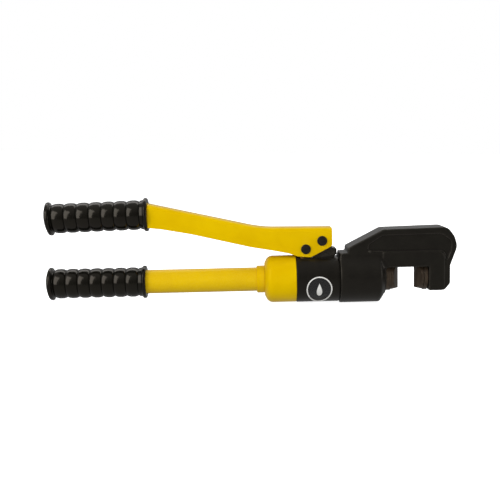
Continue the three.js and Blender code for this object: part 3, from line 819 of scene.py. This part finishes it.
# ---- fixed handle -------------------------------------------------------------------------
TUBE_R = 14.6
TUBE_BORE = 12.6
FERRULE_R = 16.8
piece(
    "reservoir_tube_painted",
    turned(eased([
        (-352, TUBE_BORE), (-87, TUBE_BORE), (-87, TUBE_R), (-352, TUBE_R),
    ]), 128),
    YELLOW, "frame", ["reservoir_tube"],
)
piece(
    "tube_ferrule_ring",
    turned(eased([
        (-102.4, 14.8), (-92.8, 14.8), (-92.8, FERRULE_R), (-102.4, FERRULE_R, 1.1),
    ]), 128),
    YELLOW, "frame", ["tube_ferrule"],
)
piece(
    "body_collar_painted",
    turned(eased([
        (-92.6, 14.9), (-92.6, 19.8, 0.8), (-88.6, COLLAR_R, 9), (COLLAR_HIGH[0], COLLAR_R, 0.9),
        (COLLAR_HIGH[0], 22.3), (-70, 22.3), (-70, 18), (-86.5, 18), (-86.5, 14.9),
    ], 8), 144),
    YELLOW, "frame", ["body_collar"],
)


# ---- grips --------------------------------------------------------------------------------
RIBS = 7
GROOVE_DEPTH = 2.1
GRIP_BORE = 14.9


def grip_shape(rib, flange, pitch, lean):
    """A moulded grip with its open end at X = 0: rounded ribs between two flanges, closed at the rear.

    rib and flange are radii. lean is how far, per millimetre of height, the closed end is pushed over.
    """
    groove = rib - GROOVE_DEPTH
    first = -10.0
    last = first - RIBS * pitch
    outline = eased([
        (0, GRIP_BORE, 0.5), (0, flange, 1.6), (-3.8, flange, 1.6), (-5.2, flange - 2.0, 0.8),
        (-8.8, groove + 1.3, 1.2), (first, groove - 0.1, 0.3),
    ], 6)
    steps = 22
    for i in range(RIBS):
        for k in range(1, steps):
            u = k / steps
            crown = (1 - abs(2 * u - 1) ** 2.4) ** 0.7
            outline.append((first - (i + u) * pitch, groove + GROOVE_DEPTH * crown))
        if i < RIBS - 1:
            outline.append((first - (i + 1) * pitch, groove - 0.05))
    outline += eased([
        (last, groove - 0.1, 0.2), (last - 1.2, groove + 1.0, 1.2), (last - 2.6, flange, 1.6),
        (last - 6.2, flange, 2.2), (last - 8.9, 13.5, 4), (last - 9.6, 0),
        (last - 5, 0), (last - 5, GRIP_BORE),
    ], 6)
    points, faces = turned(outline, 96)
    points[:, 0] += points[:, 2] * lean * np.clip(points[:, 0] / last, 0, 1) * -1
    return points, faces


LOWER_OPEN_X = -238.0
UPPER_OPEN = (-233.45, 83.0)
UPPER_TILT = math.radians(1.2)
GRIP_SHARP = 50  # degrees, so that the ribs shade smoothly
lower_shape = grip_shape(rib=18.3, flange=20.1, pitch=14.7, lean=0.03)
upper_shape = grip_shape(rib=18.3, flange=20.5, pitch=15.15, lean=0.06)
handle_grip = piece(
    "handle_grip_moulding", lower_shape, VINYL, "frame", ["handle_grip"], GRIP_SHARP,
)
handle_grip.data.transform(Matrix.Translation((LOWER_OPEN_X * MM, 0, 0)))


def onto_upper(shape):
    """Moves a shape drawn along X to the pump lever's handle."""
    points, faces = shape
    cos, sin = math.cos(UPPER_TILT), math.sin(UPPER_TILT)
    moved = np.stack([
        UPPER_OPEN[0] + points[:, 0] * cos - points[:, 2] * sin,
        points[:, 1],
        UPPER_OPEN[1] + points[:, 0] * sin + points[:, 2] * cos,
    ], 1)
    return moved, faces


piece(
    "lever_grip_moulding", onto_upper(upper_shape), VINYL, "lever", ["lever_grip"],
    GRIP_SHARP,
)


# ---- pump lever ---------------------------------------------------------------------------
LEVER_FRONT_X = -9.8
LEVER_REAR_X = UPPER_OPEN[0] + 0.5


def lever_edges():
    """The channel's top and bottom edges in X and Z, without the two corners that close each outline."""
    top = eased([
        (LEVER_REAR_X, 96.3), (-95.7, 64.5, 150), (LEVER_FRONT_X, 63.0, 0.9),
        (LEVER_FRONT_X, 50), (LEVER_REAR_X, 50),
    ], 16)[:-2]
    bottom = eased([
        (LEVER_REAR_X, 67.6), (-216, 65.5, 60), (-181, 58.9, 200), (-109, 41.4, 120), (-79.5, 36.1, 60),
        (-61.4, 32.3, 30), (-52, 28.5, 10), (-36, 27.2, 6), (LEVER_FRONT_X - 0.4, 40.5, 2.5),
        (LEVER_FRONT_X, 50), (LEVER_REAR_X, 90),
    ], 12)[:-2]
    return np.array(top).T, np.array(bottom).T


def lever_section(low, high):
    """The U's closed outline in Y and Z between those heights, with round bends and eased feet."""
    wall, bend, lip, nick = LEVER_WALL, LEVER_BEND, 0.7, 0.2
    out, web = -LEVER_HALF, -LEVER_HALF + wall
    arc = [(math.cos(a), math.sin(a)) for a in (math.pi / 2 * k / 8 for k in range(9))]
    outer = [(out + bend * (1 - c), high - bend * (1 - s)) for c, s in arc]
    inner_bend = bend - wall
    inner = [(web + inner_bend * (1 - c), high - wall - inner_bend * (1 - s)) for c, s in reversed(arc)]
    inner_foot = [(web, low + lip), (web - nick, low + nick), (web - lip, low)]
    outer_foot = [(out + lip, low), (out + nick, low + nick), (out, low + lip)]
    half = outer_foot + outer
    back = inner + inner_foot
    return half + [(-y, z) for y, z in reversed(half)] + [(-y, z) for y, z in reversed(back)] + back


def lever_shape():
    """The pressed channel: a U section whose top and bottom edges follow the lever's side view."""
    top, bottom = lever_edges()
    stations = np.unique(np.round(np.concatenate([
        np.linspace(LEVER_REAR_X, -60, 70), np.linspace(-60, -13, 50), np.linspace(-13, LEVER_FRONT_X, 14),
    ]), 3))
    points, faces = [], []
    for x in stations:
        section = lever_section(np.interp(x, *bottom), np.interp(x, *top))
        points += [(x, y, z) for y, z in section]
    count = len(section)
    for s in range(len(stations) - 1):
        for i in range(count):
            j = (i + 1) % count
            faces.append([s * count + i, s * count + j, (s + 1) * count + j, (s + 1) * count + i])
    last = (len(stations) - 1) * count
    faces += [list(range(count)), list(range(last + count - 1, last - 1, -1))]
    return np.array(points), faces


bored(
    piece("lever_pressing", lever_shape(), YELLOW, "lever", ["lever_channel"]),
    rod(-20, 20, PIN_R + PLAY, "y", FULCRUM),
    rod(-20, 20, PIN_R + PLAY, "y", DRIVE),
)


def pin_shape(centre):
    """A pin with a shallow domed head on -Y and a groove for its circlip."""
    face = LEVER_HALF + PLAY
    head_r, groove_r, groove_end, pin_end = 6, 3, face + 1.6, 17
    return turned(eased([
        (-face - 1.9, 0), (-face - 1.8, 4, 3), (-face - 1.4, head_r, 0.6), (-face, head_r),
        (-face, PIN_R), (face, PIN_R), (face, groove_r), (groove_end, groove_r), (groove_end, PIN_R),
        (pin_end, PIN_R, 0.5), (pin_end, 0),
    ], 4), 64, "y", centre)


def clip_shape(centre):
    """An open retaining ring with its gap below."""
    low, high = LEVER_HALF + 0.6, LEVER_HALF + 1.6
    outer_r, inner_r = 6.2, 3.3
    half_gap = math.radians(34)
    steps = 40
    angles = [-math.pi / 2 + half_gap + (2 * math.pi - 2 * half_gap) * k / steps for k in range(steps + 1)]
    outline = [(outer_r * math.cos(a), outer_r * math.sin(a)) for a in angles]
    outline += [(inner_r * math.cos(a), inner_r * math.sin(a)) for a in reversed(angles)]
    return prism([(centre[0] + u, centre[1] + v) for u, v in outline], low, high)


for label, centre in (("fulcrum", FULCRUM), ("drive", DRIVE)):
    piece(f"{label}_pin_headed", pin_shape(centre), PIN, "lever", [f"{label}_pin"])
    clip = clip_shape(centre)
    clip = piece(f"{label}_retaining_ring", clip, SPRING, "lever", [f"{label}_circlip"])
    soften(clip, 0.15, 2)


# ---- springs ------------------------------------------------------------------------------
def spring_shape(node, wire, turns, axis):
    """Wire of that radius wound along X or Y inside a CAD spring's box, closer together at both ends."""
    low, high = span(node)
    middle = (low + high) / 2
    along = "xyz".index(axis)
    radius = (high - low)[2] / 2 - wire
    length = (high - low)[along] - 2 * wire
    end_pitch = 2.2 * wire  # the end coils all but touch
    closing = max(0, 1 - end_pitch * turns / length)
    steps, sides = turns * 36, 12
    points, faces = [], []
    for s in range(steps + 1):
        share = s / steps
        place = wire + length * (share - closing * math.sin(2 * math.pi * share) / (2 * math.pi))
        angle = 2 * math.pi * turns * share
        for k in range(sides):
            around = 2 * math.pi * k / sides
            r = radius + wire * math.cos(around)
            points.append((place + wire * math.sin(around), r * math.cos(angle), r * math.sin(angle)))
    for s in range(steps):
        for k in range(sides):
            beside = (k + 1) % sides
            faces.append([s * sides + k, s * sides + beside, (s + 1) * sides + beside, (s + 1) * sides + k])
    faces += [list(range(sides)), list(range(steps * sides, (steps + 1) * sides))]
    p = np.array(points)
    if axis == "x":
        return p + [low[0], middle[1], middle[2]], faces
    return p[:, [1, 0, 2]] + [middle[0], low[1], middle[2]], faces


for node, joint, axis, wire, turns in (
    ("ram_return_spring", "ram_slide", "x", 1.3, 6),
    ("delivery_spring", "delivery_lift", "x", 0.45, 4),
    ("relief_spring", "relief_lift", "y", 0.5, 4),
):
    shape = spring_shape(node, wire, turns, axis)
    coil = piece(f"{node}_coil", shape, SPRING, "frame", [node])
    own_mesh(coil)

# ---- CAD nodes that stay ------------------------------------------------------------------
KEPT = {
    "head_lock_screw": PIN, "head_o_ring": RUBBER, "moving_blade_screw": PIN, "ram_seal": RUBBER,
    "ram_backup_ring": WHITE, "plunger_seal": RUBBER, "release_ball": BRIGHT, "relief_ball": BRIGHT,
    "relief_screw": PIN, "suction_seat": BRIGHT, "suction_ball": BRIGHT, "suction_plug": PIN,
    "delivery_ball": BRIGHT, "delivery_plug": PIN, "tube_end_plug": RUBBER, "oil_bladder": RUBBER,
    "bladder_clamp": BRIGHT, "lever_core": YELLOW,
}
for name, material in KEPT.items():
    NODES[name].data.materials.clear()
    NODES[name].data.materials.append(material)


# ---- camera -------------------------------------------------------------------------------
PITCH = math.radians(7)
ROLL = math.radians(-1.36)
DISTANCE = 1.02
PICTURE_WIDTH = 500 * 1.235 * MM  # what 500 pixels cover at the object
SENSOR = 36
AIM = (-109.85, 3.75, 35.9)  # mm in the tool's frame
centre = Vector(ORIGIN + np.array(AIM) * MM)
camera = bpy.data.objects.new("camera", bpy.data.cameras.new("camera"))
bpy.context.scene.collection.objects.link(camera)
back = Vector((0, -math.cos(PITCH), math.sin(PITCH)))
camera.location = centre + back * DISTANCE
camera.rotation_mode = "QUATERNION"
rolled = Matrix.Rotation(ROLL, 3, "Z").to_quaternion()
camera.rotation_quaternion = (-back).to_track_quat("-Z", "Y") @ rolled
camera.data.sensor_width = SENSOR
camera.data.lens = SENSOR * DISTANCE / PICTURE_WIDTH
camera.data.clip_start = 0.05
camera.data.clip_end = 60
bpy.context.scene.camera = camera

# ---- floor --------------------------------------------------------------------------------
# The tool rests on the cylinder's rear edge and on the lower grip's end flange.
REST_FRONT = Vector((ORIGIN[0] + 2 * MM, 0, CAD_LOW.z))
REST_REAR = Vector((ORIGIN[0] - 354.5 * MM, 0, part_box("handle_grip")[0].z))
slope = math.atan2(REST_REAR.z - REST_FRONT.z, REST_FRONT.x - REST_REAR.x)
CLEARANCE = 0.0004
FLOOR_HALF = 30.0


def floor_material():
    """Pale and matt, glowing a little more away from the tool so that it meets the white background."""
    material = bpy.data.materials.new("pale_floor")
    material.use_nodes = True
    tree = material.node_tree
    shader = tree.nodes["Principled BSDF"]
    shader.inputs["Base Color"].default_value = (0.86, 0.86, 0.86, 1)
    shader.inputs["Roughness"].default_value = 0.9
    shader.inputs["Emission Color"].default_value = (1, 1, 1, 1)
    reach = tree.nodes.new("ShaderNodeVectorMath")
    reach.operation = "LENGTH"
    tree.links.new(tree.nodes.new("ShaderNodeTexCoord").outputs["Object"], reach.inputs[0])
    near, far, near_glow, far_glow = 0.25, 0.6, 0.9, 1.0
    glow = ranged(tree, reach.outputs["Value"], near, far, near_glow, far_glow)
    tree.links.new(glow, shader.inputs["Emission Strength"])
    return material


floor_mesh = bpy.data.meshes.new("floor")
corners = [(x * FLOOR_HALF, y * FLOOR_HALF, 0) for x, y in ((-1, -1), (1, -1), (1, 1), (-1, 1))]
floor_mesh.from_pydata(corners, [], [[0, 1, 2, 3]])
floor_mesh.materials.append(floor_material())
floor = bpy.data.objects.new("floor", floor_mesh)
bpy.context.scene.collection.objects.link(floor)
floor.location = REST_FRONT - Vector((0, 0, CLEARANCE))
floor.rotation_euler = (0, slope, 0)
floor.visible_glossy = False
floor.visible_diffuse = False

# ---- light --------------------------------------------------------------------------------
def studio_world():
    """White where the camera sees it; for everything else a soft grey that changes with height."""
    world = bpy.data.worlds.new("studio")
    world.use_nodes = True
    nodes, links = world.node_tree.nodes, world.node_tree.links
    backdrop = nodes["Background"]
    backdrop.inputs["Color"].default_value = (1, 1, 1, 1)
    backdrop.inputs["Strength"].default_value = 1.0
    ambient = nodes.new("ShaderNodeBackground")
    height = nodes.new("ShaderNodeSeparateXYZ")
    ramp = nodes.new("ShaderNodeValToRGB")
    ramp.color_ramp.interpolation = "B_SPLINE"
    levels = ((0.0, 0.45), (0.44, 0.36), (0.5, 0.12), (0.7, 0.14), (1.0, 0.5))
    for i, (position, level) in enumerate(levels):
        stop = ramp.color_ramp.elements[i] if i < 2 else ramp.color_ramp.elements.new(position)
        stop.position = position
        stop.color = (level, level, level, 1)
    rescale = nodes.new("ShaderNodeMapRange")
    rescale.inputs["From Min"].default_value = -1
    links.new(nodes.new("ShaderNodeTexCoord").outputs["Generated"], height.inputs[0])
    links.new(height.outputs["Z"], rescale.inputs["Value"])
    links.new(rescale.outputs["Result"], ramp.inputs["Fac"])
    links.new(ramp.outputs["Color"], ambient.inputs["Color"])
    either = nodes.new("ShaderNodeMixShader")
    links.new(nodes.new("ShaderNodeLightPath").outputs["Is Camera Ray"], either.inputs[0])
    links.new(ambient.outputs[0], either.inputs[1])
    links.new(backdrop.outputs[0], either.inputs[2])
    links.new(either.outputs[0], nodes["World Output"].inputs["Surface"])
    return world


def softbox(name, place, size, radiance, aim):
    """A rectangular area light of even radiance, pointed at aim."""
    data = bpy.data.lights.new(name, "AREA")
    data.shape = "RECTANGLE"
    data.size, data.size_y = size
    data.energy = radiance * math.pi * size[0] * size[1]
    light = bpy.data.objects.new(name, data)
    bpy.context.scene.collection.objects.link(light)
    light.location = place
    light.rotation_mode = "QUATERNION"
    light.rotation_quaternion = (Vector(aim) - Vector(place)).to_track_quat("-Z", "Y")
    light.visible_camera = False
    return light


MIDDLE = (0, 0, 0.05)
bpy.context.scene.world = studio_world()
softbox("key", (-1.05, -0.95, 0.74), (1.05, 1.55), 2.9, (-0.15, 0, 0.05))
softbox("top", (0.0, 0.75, 1.2), (2.2, 0.5), 2.0, MIDDLE)
softbox("back", (0.0, 1.6, 0.6), (3.2, 1.0), 0.4, MIDDLE)
softbox("side", (1.5, -0.15, 0.25), (0.5, 0.8), 2.2, MIDDLE)
fill = softbox("fill", (0.6, -1.7, 0.35), (2.8, 1.0), 1.9, MIDDLE)
fill.visible_glossy = False

view = bpy.context.scene.view_settings
view.view_transform = "Standard"
